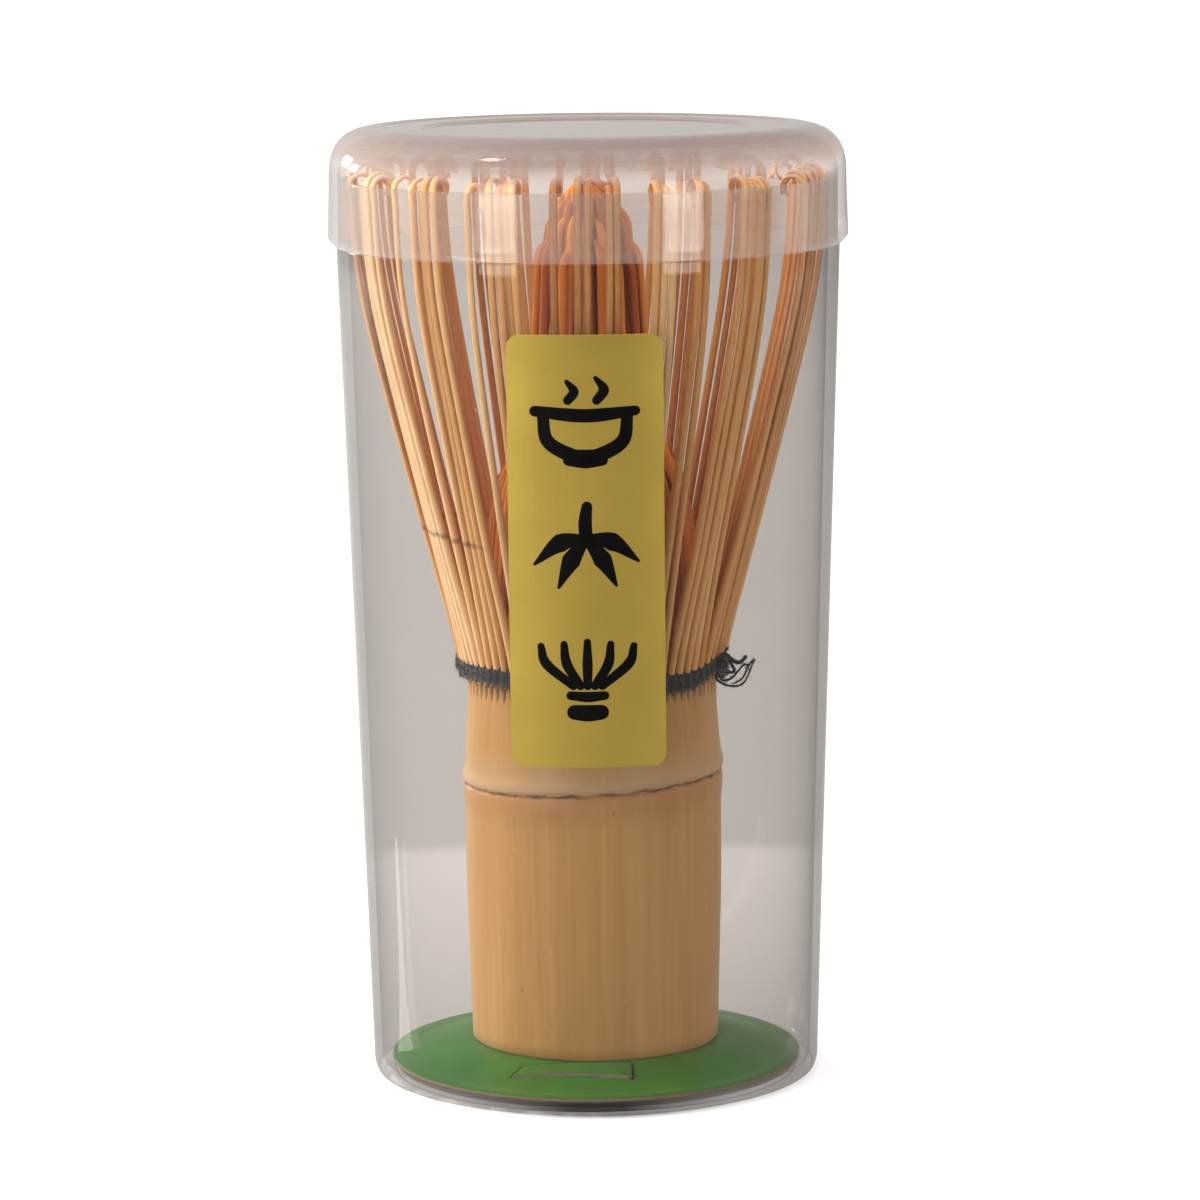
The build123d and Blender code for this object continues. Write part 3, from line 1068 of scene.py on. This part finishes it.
def slit_share(angle, z):
    """How far a point lies in one of the slits that part the tines, from 0 to 1."""
    up = (z - SLIT_LOW_Z) / 2.0
    if up <= 0:
        return 0.0
    share = (angle / FULL_TURN * TINES + 0.5) % 1
    wedge = lerp(0.04, 0.17, min(up, 1.0))
    return smooth(up * 2.5) * math.exp(-((share - 0.5) / wedge) ** 2)


def handle_skin(angle, r, z):
    """Local skin: the tilted node, a slightly oval culm and the slits under the thread."""
    if r < SKIN_FROM_R:
        return r, z
    line = z - NODE_Z - NODE_TILT * math.cos(angle)
    ridge = 0.3 * math.exp(-((line - 0.9) / 0.9) ** 2) + 0.2 * math.exp(-((line + 1.4) / 1.5) ** 2)
    crease = -0.38 * math.exp(-(line / 0.24) ** 2)
    oval = 0.1 * math.cos(2 * angle + 0.6) - 0.04 * math.cos(5 * angle)
    depth = 0.9 * slit_share(angle, z)
    foot = 0.12 * math.cos(angle * 3) * smooth((HANDLE_FOOT_Z + 3 - z) / 3)
    return r + ridge + crease + oval - depth - abs(foot) * 0.4, z


def build_handle():
    """The unsplit culm, hollow below its node, slit between its tines at the top."""
    outer = []
    z = HANDLE_FOOT_Z + 0.25
    while z < HANDLE_TOP_Z:
        outer.append((handle_surface_r(z), z))
        z += 0.2 if abs(z - NODE_Z) < 2.6 or z > SLIT_LOW_Z - 0.3 else 1.2
    top_r = handle_surface_r(HANDLE_TOP_Z)
    outline = [(HANDLE_BORE_R, HANDLE_FOOT_Z + 0.15), (HANDLE_BORE_R + 0.15, HANDLE_FOOT_Z)]
    outline += [(HANDLE_FOOT_R - 0.3, HANDLE_FOOT_Z), *outer, (top_r, HANDLE_TOP_Z)]
    outline += [(HANDLE_BORE_R, HANDLE_TOP_Z), (HANDLE_BORE_R, SEPTUM_TOP_Z + 0.6)]
    outline += [(HANDLE_BORE_R - 0.6, SEPTUM_TOP_Z + 0.1), (0, SEPTUM_TOP_Z)]
    outline += [(0, SEPTUM_UNDER_Z), (HANDLE_BORE_R - 0.6, SEPTUM_UNDER_Z - 0.1)]
    outline += [(HANDLE_BORE_R, SEPTUM_UNDER_Z - 0.6)]
    handle = lathe("whisk_culm_handle", outline, 8 * TINES, SKIN, handle_skin)
    handle.data.materials.append(CUT)
    slits = handle.data.attributes.new("slit", "FLOAT", "POINT")
    for index, vert in enumerate(handle.data.vertices):
        place = vert.co / MM
        if math.hypot(place.x, place.y) > SKIN_FROM_R:
            angle = math.atan2(place.y, place.x) % FULL_TURN
            slits.data[index].value = slit_share(angle, place.z)
    for face in handle.data.polygons:
        middle = face.center / MM
        radius = math.hypot(middle.x, middle.y)
        inside = radius < SKIN_FROM_R or abs(face.normal.z) > 0.8
        face.material_index = 1 if inside else 0
    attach(handle, "whisk")
    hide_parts("whisk_handle")


# ---- tines --------------------------------------------------------------------------
TINE_FOOT_Z = HANDLE_TOP_Z + 0.15
OUTER_FOOT_R = 15.4
OUTER_TOP_R = 27.8
OUTER_TOP_Z = 104.5
HOOK_R = 1.9


def blade(frames, widths, thicks):
    """A closed strip along frames of (centre, outward, across), with soft corners."""
    section = [
        (-0.5, -0.25), (-0.34, -0.5), (0.34, -0.5), (0.5, -0.25),
        (0.5, 0.05), (0.27, 0.5), (-0.27, 0.5), (-0.5, 0.05),
    ]
    points = []
    for (centre, outward, across), width, thick in zip(frames, widths, thicks):
        for x, y in section:
            points.append(centre + across * (x * width) + outward * (y * thick))
    return points, strip_faces(len(frames), len(section))


def angle_apart(a, b):
    """The smaller angle between two directions, in radians."""
    return abs((a - b + math.pi) % FULL_TURN - math.pi)


def bellied(share):
    """Outward swing of an outer tine: straight at first, upright again below its hook."""
    straight = 1.2 * share * (1 - 0.4 * math.exp(-share / 0.12))
    return straight / (1 + straight ** 12) ** (1 / 12)


def tine_frames(profile, azimuth, sideways):
    """Frames along a tine from its (r, z) profile; sideways is its shift at each point."""
    outward = Vector((math.cos(azimuth), math.sin(azimuth), 0))
    across = Vector((-math.sin(azimuth), math.cos(azimuth), 0))
    frames = []
    for index, (r, z) in enumerate(profile):
        ahead = profile[min(index + 1, len(profile) - 1)]
        behind = profile[max(index - 1, 0)]
        along = Vector((ahead[0] - behind[0], ahead[1] - behind[1])).normalized()
        normal = outward * along.y - Vector((0, 0, 1)) * along.x
        centre = outward * r + Vector((0, 0, z)) + across * sideways[index]
        frames.append((centre, normal, across))
    return frames


def outer_tine(batch, azimuth, offset, pull, gap, tone, rng):
    """One outer tine, hooked at its tip. Its offset is its place in its cluster."""
    rise = rng.uniform(-0.8, 0.5)
    reach = rng.uniform(-0.5, 0.15)
    hook_r = HOOK_R * rng.uniform(0.7, 1.0)
    hook_turn = math.radians(rng.uniform(170, 240))
    top_z = OUTER_TOP_Z + rise + (HOOK_R - hook_r)
    top_r = OUTER_TOP_R + reach
    wave = rng.uniform(-0.25, 0.25)
    phase = rng.uniform(0, FULL_TURN)
    rows = 30
    profile = []
    for row in range(rows):
        share = row / rows
        z = lerp(TINE_FOOT_Z, top_z, share)
        r = OUTER_FOOT_R - 0.45 + (top_r - OUTER_FOOT_R + 0.15) * bellied(share)
        profile.append((r + wave * 0.6 * math.sin(5 * share + phase) * share, z))
    curl_rows = 14
    for row in range(curl_rows + 1):
        angle = hook_turn * row / curl_rows
        tight = 1 - 0.22 * row / curl_rows
        profile.append(
            (
                top_r - 0.3 - hook_r + hook_r * tight * math.cos(angle),
                top_z + hook_r * tight * math.sin(angle),
            )
        )
    count = len(profile)
    broad = rng.uniform(0.92, 1.06)
    step = FULL_TURN / TINES
    widths = []
    thicks = []
    sideways = []
    for row in range(count):
        share = min(row / rows, 1.0)
        curl = max(0.0, (row - rows) / curl_rows)
        widths.append(broad * lerp(0.98, 0.92, share) * (1 - 0.1 * curl))
        thicks.append(lerp(0.95, 0.42, smooth(share * 1.3)) * (1 - 0.25 * curl))
        r = profile[min(row, rows)][0]
        spacing = lerp(OUTER_FOOT_R * step, gap, smooth(share * 3.2))
        apart = offset * (spacing - r * step)
        sideways.append(apart + pull * share ** 1.5 + wave * math.sin(4 * share + phase) * share)
    frames = tine_frames(profile, azimuth, sideways)
    points, faces = blade(frames, widths, thicks)
    tones = []
    for row in range(count):
        for side in range(8):
            # painted shade: the flanks and the inner face of each tine are darker than its outer face,
            # which draws dark lines between the tines
            skin = 0.06 if side in (5, 6) else -0.34
            tones.append(min(max(tone + skin - 0.12 * (row < 3), -0.3), 1.1))
    batch.add(points, faces, tones)


CLUSTERS = ((5,), (3, 2), (2, 3), (4, 1), (1, 4), (2, 1, 2), (1, 3, 1), (1, 2, 2))


def build_outer_tines():
    """Sixteen staves of outer tines, each on its own body so that it can bend."""
    rng = random.Random(11)
    for index, node in enumerate(STAVES):
        batch = Batch()
        middle = STAVE_STEP * index
        # painted shade: tines that face the front are given darker tones, standing for the shade they
        # stand in
        front = math.exp(-((angle_apart(middle, -math.pi / 2)) / 0.45) ** 2)
        first = 0
        for size in rng.choice(CLUSTERS):
            centre = first + (size - 1) / 2 - (TINES_PER_STAVE - 1) / 2
            pull = -centre * rng.uniform(0.0, 0.7) + rng.uniform(-0.4, 0.4)
            if pull * centre > 0:
                pull = 0.0
            shade = rng.choice((0.38, 0.46, 0.54, 0.6, 0.68, 0.95)) - 0.5 * front
            gap = rng.uniform(0.92, 1.12)
            for member in range(size):
                offset = first + member - (TINES_PER_STAVE - 1) / 2
                azimuth = middle + offset * FULL_TURN / TINES
                tone = min(max(shade + rng.uniform(-0.14, 0.14), 0.0), 1.1)
                loose = pull + rng.uniform(-0.1, 0.1)
                outer_tine(batch, azimuth, offset - centre, loose, gap, tone, rng)
            first += size
        piece = batch.piece(f"hooked_tines_{index + 1:02d}", TINE)
        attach(piece, node.replace("outer_tines", "stave"))
        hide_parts(node)


def inner_tine(batch, azimuth, ring_r, ring, rng):
    """One inner tine: it leans in from the culm and stands in the bundle."""
    heights = (0.0, 0.22, 0.41, 0.53, 0.74, 1.0)
    leans = (1.0, 0.95, 0.80, 0.45, 0.14, 0.0)
    top = (94.6, 98.0, 101.0, 102.4)[ring] + rng.uniform(-0.9, 0.9)
    foot_r = 12.7
    controls = []
    for height, lean in zip(heights, leans):
        r = ring_r + (foot_r - ring_r) * lean
        controls.append((r, lerp(TINE_FOOT_Z, top, height), 0))
    path = smooth_path(controls, 6)
    bend = rng.uniform(-0.5, 0.5)
    count = len(path)
    profile = [(p.x, p.y) for p in path]
    shares = [row / (count - 1) for row in range(count)]
    sideways = [bend * math.sin(3 * share) * share for share in shares]
    widths = [lerp(0.9, 1.0, smooth(share * 1.4)) for share in shares]
    thicks = [lerp(0.6, 0.72, share) for share in shares]
    hook = rng.uniform(2.4, 3.1) if ring < 2 else rng.uniform(1.1, 1.8)
    turn = rng.uniform(1.5, 2.4)
    end_r, end_z = profile[-1]
    for row in range(1, 9):
        angle = turn * row / 8
        profile.append((end_r - hook + hook * math.cos(angle), end_z + hook * math.sin(angle)))
        sideways.append(sideways[-1])
        widths.append(widths[-1] * 0.99)
        thicks.append(thicks[-1] * 0.97)
    frames = tine_frames(profile, azimuth, sideways)
    points, faces = blade(frames, widths, thicks)
    batch.add(points, faces, rng.uniform(0.0, 1.0))


def build_inner_tines():
    """Sixteen bunches of inner tines, which close into one bundle."""
    rng = random.Random(5)
    for index, node in enumerate(INNER_STAVES):
        batch = Batch()
        for tine in range(INNER_PER_STAVE):
            offset = tine - (INNER_PER_STAVE - 1) / 2
            azimuth = STAVE_STEP * (index + offset / INNER_PER_STAVE)
            ring_r = 6.0 - 1.2 * tine + rng.uniform(-0.2, 0.2)
            inner_tine(batch, azimuth, ring_r, tine, rng)
        piece = batch.piece(f"bundle_tines_{index + 1:02d}", INNER)
        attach(piece, "whisk")
        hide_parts(node)


# ---- binding thread -----------------------------------------------------------------
THREAD_LOOP_R = 15.3
BAND_STEPS = 640
BAND_FIBRES = 5200
KNOT = (KNOT_LOW + KNOT_HIGH) / 2
KNOT_ANGLE = math.atan2(KNOT.y, KNOT.x)
# Each strand of a tail: its radius, then points of (out, sideways, up) from the knot.
UPPER_STRANDS = (
    (0.36, ((0.7, 0, 1.6), (1.5, -0.3, 2.1), (2.2, 0.1, 1.4), (3.1, 0.3, 1.2), (3.9, 0.1, 2.0))),
    (0.26, ((0.6, 0.2, 0.8), (1.3, 0.3, 1.9), (2.2, -0.2, 1.0), (2.6, -0.4, 0.2), (1.6, -0.3, 0.0))),
    (0.16, ((0.9, -0.3, 1.2), (1.6, -0.5, 2.6), (1.9, -0.4, 3.0))),
)
LOWER_STRANDS = (
    (0.17, ((0.2, 0, 0.2), (0.6, -0.4, -1.0), (2.2, -0.1, -1.6), (3.6, 0.3, -1.1), (4.9, 0.1, 1.6))),
    (0.17, ((0.3, 0.1, 0.0), (1.2, -0.5, -0.9), (2.4, -0.6, -0.5), (3.4, 0.2, 0.8), (3.9, 0.2, 1.0))),
    (0.15, ((4.9, 0.1, 1.6), (4.3, 0.1, 1.0), (3.4, 0.3, -0.6), (2.4, 0.0, -1.3))),
)


def band_outline():
    """Section of the bound thread: two loops pressed into one flat felted band."""
    outline = []
    for step in range(24):
        angle = FULL_TURN * step / 24
        dip = 0.09 * math.exp(-((math.cos(angle) - 1) / 0.1) ** 2) * math.cos(angle)
        waist = math.exp(-(math.sin(angle) / 0.22) ** 2)
        outline.append(
            (
                THREAD_LOOP_R + 0.62 * math.cos(angle) - dip - 0.1 * waist * (math.cos(angle) > 0),
                1.12 * math.copysign(abs(math.sin(angle)) ** 0.75, math.sin(angle)),
            )
        )
    return outline


def thread_tilt(angle):
    """How far the band rides up: highest at the left and at the knot on the right."""
    climb = 1.6 * math.exp(-((angle_apart(angle, KNOT_ANGLE)) / 0.22) ** 2)
    return 0.55 * math.cos(angle + 2.9) + climb


def weave_point(angle, up, out):
    """A point of the band: it dips a little between the tines and wanders up and down."""
    over = 0.045 * math.cos(angle * TINES)
    r = out + over
    z = THREAD_Z + up + 0.07 * math.sin(angle * 7) + thread_tilt(angle)
    return Vector((r * math.cos(angle), r * math.sin(angle), z))


def any_way(rng):
    """A random direction, longer or shorter, inside a cube."""
    return Vector((rng.uniform(-1, 1), rng.uniform(-1, 1), rng.uniform(-1, 1)))


def add_fibre(batch, start, way, rng):
    """One loose fibre that stands out of the thread and bends over."""
    bend = any_way(rng) * 0.22
    length = rng.uniform(0.2, 0.55)
    path = [start, start + way * length * 0.5 + bend * 0.3, start + way * length * 0.8 + bend]
    points, faces = tube_points(path, [0.04, 0.032, 0.014], 3)
    batch.add(points, faces, rng.uniform(0.2, 1.0))


def build_thread():
    """The felted black band, with loose fibres all over it."""
    rng = random.Random(3)
    band = Batch()
    outline = band_outline()
    sides = len(outline)
    points = []
    faces = []
    for step in range(BAND_STEPS):
        angle = FULL_TURN * step / BAND_STEPS
        for r, z in outline:
            fluff = rng.uniform(-0.05, 0.05)
            points.append(weave_point(angle, z + fluff, r + fluff))
        for side in range(sides):
            after = (side + 1) % sides
            low = step * sides
            high = (step + 1) % BAND_STEPS * sides
            faces.append([low + side, high + side, high + after, low + after])
    band.add(points, faces, [rng.uniform(0.2, 0.8) for _ in points])
    for _ in range(BAND_FIBRES):
        angle = rng.uniform(0, FULL_TURN)
        turn = rng.uniform(-2.0, 2.0)
        out = Vector((math.cos(angle), math.sin(angle), 0))
        start = weave_point(angle, 1.08 * math.sin(turn), THREAD_LOOP_R + 0.5 * math.cos(turn))
        way = out * max(math.cos(turn), 0.1) + Vector((0, 0, math.sin(turn)))
        add_fibre(band, start, way, rng)
    piece = band.piece("black_thread_band", THREAD)
    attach(piece, "whisk")
    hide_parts("binding_thread")


def knot_point(out, side, up):
    """A point by the knot: out from the whisk, sideways to the left, and up."""
    outward = Vector((math.cos(KNOT_ANGLE), math.sin(KNOT_ANGLE), 0))
    across = Vector((-math.sin(KNOT_ANGLE), math.cos(KNOT_ANGLE), 0))
    return Vector((0, 0, KNOT.z)) + outward * (THREAD_LOOP_R + out) + across * side + Vector((0, 0, up))


def add_strand(batch, route, radius, rng):
    """One frayed strand of the thread, thinner at its end and furry with fibres."""
    path = smooth_path([knot_point(*p) for p in route], 10)
    count = len(path)
    radii = [radius * lerp(1.0, 0.55, row / (count - 1)) * rng.uniform(0.85, 1.15) for row in range(count)]
    points, faces = tube_points(path, radii, 7)
    batch.add(points, faces, rng.uniform(0.3, 0.8))
    for _ in range(count * 3):
        start = path[rng.randrange(count)]
        way = any_way(rng)
        add_fibre(batch, start, way * 0.8, rng)


def ride_thread(batch, name, node):
    """Make one piece of the knot and let it stand for its CAD node."""
    piece = batch.piece(name, THREAD)
    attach(piece, "whisk")
    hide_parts(node)


def build_knot():
    """The knot, a few turns of thread over each other, and its frayed tails."""
    rng = random.Random(8)
    knot = Batch()
    for turn in range(3):
        route = []
        for step in range(7):
            angle = FULL_TURN * step / 6 + turn
            route.append(
                (
                    0.7 + 0.45 * math.cos(angle) + 0.15 * turn,
                    0.6 * math.sin(angle),
                    0.9 + 0.45 * math.cos(angle + turn) + 0.25 * (turn - 1),
                )
            )
        add_strand(knot, route, 0.34, rng)
    ride_thread(knot, "black_thread_knot", "thread_knot")
    for place, strands in (("upper", UPPER_STRANDS), ("lower", LOWER_STRANDS)):
        tail = Batch()
        for radius, route in strands:
            add_strand(tail, route, radius, rng)
        ride_thread(tail, f"frayed_tail_{place}", f"thread_tail_{place}")


# ---- stage, lights and camera -------------------------------------------------------
def build_stage():
    """A pale floor, whose material paints its own glow and the shadow under the object."""
    reach = 9000.0
    corners = [(-reach, -reach, 0), (reach, -reach, 0), (reach, reach, 0), (-reach, reach, 0)]
    floor = mesh_piece("studio_floor", corners, [[0, 1, 2, 3]], pale_floor(), shade=False)
    floor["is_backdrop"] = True


LAMP_TARGET = (0, 0, 0.055)         # metres, about the middle of the case


def add_lamp(name, place, size, power, colour):
    """A rectangular lamp that the camera doesn't see, in metres and watts."""
    lamp = bpy.data.lights.new(name, "AREA")
    lamp.shape = "RECTANGLE"
    lamp.size, lamp.size_y = size
    lamp.energy = power
    lamp.color = colour
    holder = add_object(name, lamp)
    holder.location = place
    holder.visible_camera = False
    return holder


def add_soft_box(name, place, size, power, colour, glossy=False):
    """A lamp that points at the middle of the case; glossy lets it show as a highlight."""
    holder = add_lamp(name, place, size, power, colour)
    aim = Vector(LAMP_TARGET) - Vector(place)
    holder.rotation_euler = aim.to_track_quat("-Z", "Y").to_euler()
    holder.visible_glossy = glossy


def build_lights():
    """A window at the left and behind, weak fills, and a few small boxes for highlights."""
    add_soft_box("window", (-0.95, 0.30, 0.48), (0.8, 0.5), 22.5, (0.955, 0.985, 0.93))
    add_soft_box("pane", (-0.74, 0.78, 0.26), (0.16, 0.16), 3.0, (1.0, 0.97, 0.92), True)
    add_soft_box("front", (-0.3, -1.1, 0.5), (0.8, 0.6), 3.5, (1.0, 0.98, 0.90))
    add_soft_box("fill", (0.9, 0.25, 0.4), (0.5, 0.6), 6.0, (1.0, 0.94, 0.88))
    add_soft_box("top", (0.0, 0.1, 1.2), (0.9, 0.9), 3.6, (1.0, 0.99, 0.97))
    add_soft_box("glint", (-0.5, -0.35, 0.8), (0.12, 0.12), 1.6, (1.0, 0.97, 0.92), True)
    add_soft_box("foil_left", (-0.62, -0.72, 0.12), (0.3, 0.18), 1.7, (1.0, 0.98, 0.9), True)
    add_soft_box("foil_right", (0.66, -0.72, 0.12), (0.3, 0.18), 1.7, (1.0, 0.98, 0.9), True)
    build_floor_strip()
    world = bpy.data.worlds.new("studio")
    world.use_nodes = True
    tree = world.node_tree
    sky = tree.nodes["Background"]
    sky.inputs["Color"].default_value = (1.0, 0.98, 0.955, 1)
    way = tree.nodes.new("ShaderNodeSeparateXYZ")
    tree.links.new(tree.nodes.new("ShaderNodeTexCoord").outputs["Generated"], way.inputs[0])
    room = tree.nodes.new("ShaderNodeMapRange")
    tree.links.new(way.outputs["X"], room.inputs["Value"])
    room.inputs["From Min"].default_value = -1.0
    room.inputs["To Min"].default_value = 1.15
    room.inputs["To Max"].default_value = 0.4
    level = tree.nodes.new("ShaderNodeMix")
    seen = tree.nodes.new("ShaderNodeLightPath").outputs["Is Camera Ray"]
    tree.links.new(seen, level.inputs["Factor"])
    tree.links.new(room.outputs["Result"], level.inputs["A"])
    level.inputs["B"].default_value = 1.2
    tree.links.new(level.outputs["Result"], sky.inputs["Strength"])
    bpy.context.scene.world = world


def build_floor_strip():
    """A thin bright strip on the floor, seen only as a streak in the case's side."""
    place = (-0.085, 0.0175, 0.0006)
    holder = add_lamp("floor_strip", place, (0.11, 0.006), 0.008, (1.0, 0.97, 0.90))
    holder.rotation_euler = (math.pi, 0, math.radians(153))
    holder.visible_diffuse = False
    holder.visible_transmission = False


def build_camera():
    """Long lens, a little above the lid, rolled half a degree."""
    distance = 0.5749
    height = 0.1440
    aside = 0.00097
    pitch = math.radians(8.758)
    roll = math.radians(0.557)
    camera = bpy.data.cameras.new("view")
    camera.sensor_width = 36.0
    camera.lens = 148.97
    camera.clip_start = 0.01
    camera.clip_end = 50.0
    holder = add_object("view", camera)
    ahead = Vector((0, math.cos(pitch), -math.sin(pitch)))
    level = Vector((1, 0, 0))
    above = Vector((0, math.sin(pitch), math.cos(pitch)))
    right = level * math.cos(roll) - above * math.sin(roll)
    up = above * math.cos(roll) + level * math.sin(roll)
    turn = Matrix((right, up, -ahead)).transposed().to_4x4()
    holder.matrix_world = Matrix.Translation((aside, -distance, height)) @ turn
    bpy.context.scene.camera = holder


build_camera()
build_case()
build_lid()
build_label()
build_card()
build_handle()
build_outer_tines()
build_inner_tines()
build_thread()
build_knot()
build_stage()
build_lights()
bpy.context.scene.view_settings.view_transform = "Standard"

bpy.context.view_layer.update()
sizes = {"cad": cad_bounds, "visual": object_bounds()}
sizes = {key: [list(corner) for corner in value] for key, value in sizes.items()}
